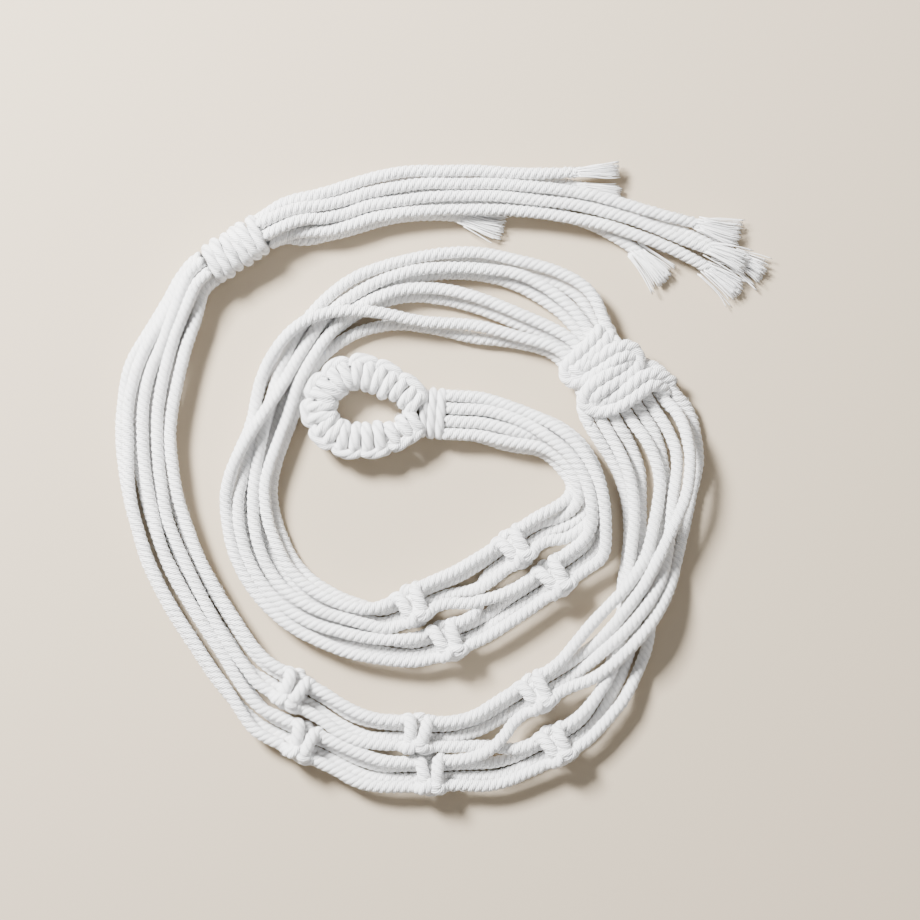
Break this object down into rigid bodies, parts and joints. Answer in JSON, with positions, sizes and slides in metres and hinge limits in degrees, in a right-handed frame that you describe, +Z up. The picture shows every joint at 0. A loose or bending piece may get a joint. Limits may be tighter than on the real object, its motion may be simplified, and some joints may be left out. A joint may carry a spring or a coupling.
{
  "type": "macrame plant hanger",
  "caption": "Two-tier macrame plant hanger of white twisted cotton cord, laid flat in a spiral: hanging loop, square knots, gathering knot, wrapped bindings and tassel.",
  "frame": {"origin": "middle of the footprint, on the surface the hanger lies on", "axes": "+Z up off the surface, +X towards the tassel's cut ends, +Y towards the bottom wrap"},
  "size_m": [0.2585, 0.2519, 0.016],
  "materials": {
    "cord": "white twisted cotton cord, matt and slightly fuzzy",
    "knot_cord": "white twisted cotton cord pulled tight in knots",
    "wrap_cord": "white twisted cotton cord wound side by side",
    "loop_cord": "white twisted cotton cord wrapped round the loop"
  },
  "bodies": {
    "root": {"bottom_wrap": "wrap_cord", "gathering_knot": "knot_cord", "loop_core": "loop_cord", "loop_knot_01": "loop_cord", "loop_knot_02": "loop_cord", "loop_knot_03": "loop_cord", "loop_knot_04": "loop_cord", "loop_knot_05": "loop_cord", "loop_knot_06": "loop_cord", "loop_knot_07": "loop_cord", "loop_knot_08": "loop_cord", "loop_knot_09": "loop_cord", "loop_knot_10": "loop_cord", "lower_cord_a": "cord", "lower_cord_b": "cord", "lower_cord_c": "cord", "lower_cord_d": "cord", "lower_cord_e": "cord", "lower_cord_f": "cord", "lower_cord_g": "cord", "lower_cord_h": "cord", "neck_wrap": "wrap_cord", "square_knot_1_inner": "knot_cord", "square_knot_1_outer": "knot_cord", "square_knot_2_inner": "knot_cord", "square_knot_2_outer": "knot_cord", "square_knot_3_inner": "knot_cord", "square_knot_3_outer": "knot_cord", "square_knot_4_inner": "knot_cord", "square_knot_4_outer": "knot_cord", "square_knot_5_inner": "knot_cord", "square_knot_5_outer": "knot_cord", "tail_cord_a": "cord", "tail_cord_b": "cord", "tail_cord_c": "cord", "tail_cord_d": "cord", "tail_cord_e": "cord", "tail_cord_f": "cord", "tail_cord_g": "cord", "tail_cord_h": "cord", "upper_cord_1": "cord", "upper_cord_2": "cord", "upper_cord_3": "cord", "upper_cord_4": "cord", "upper_cord_5": "cord", "upper_cord_6": "cord", "upper_cord_7": "cord", "upper_cord_8": "cord"}
  },
  "joints": []
}
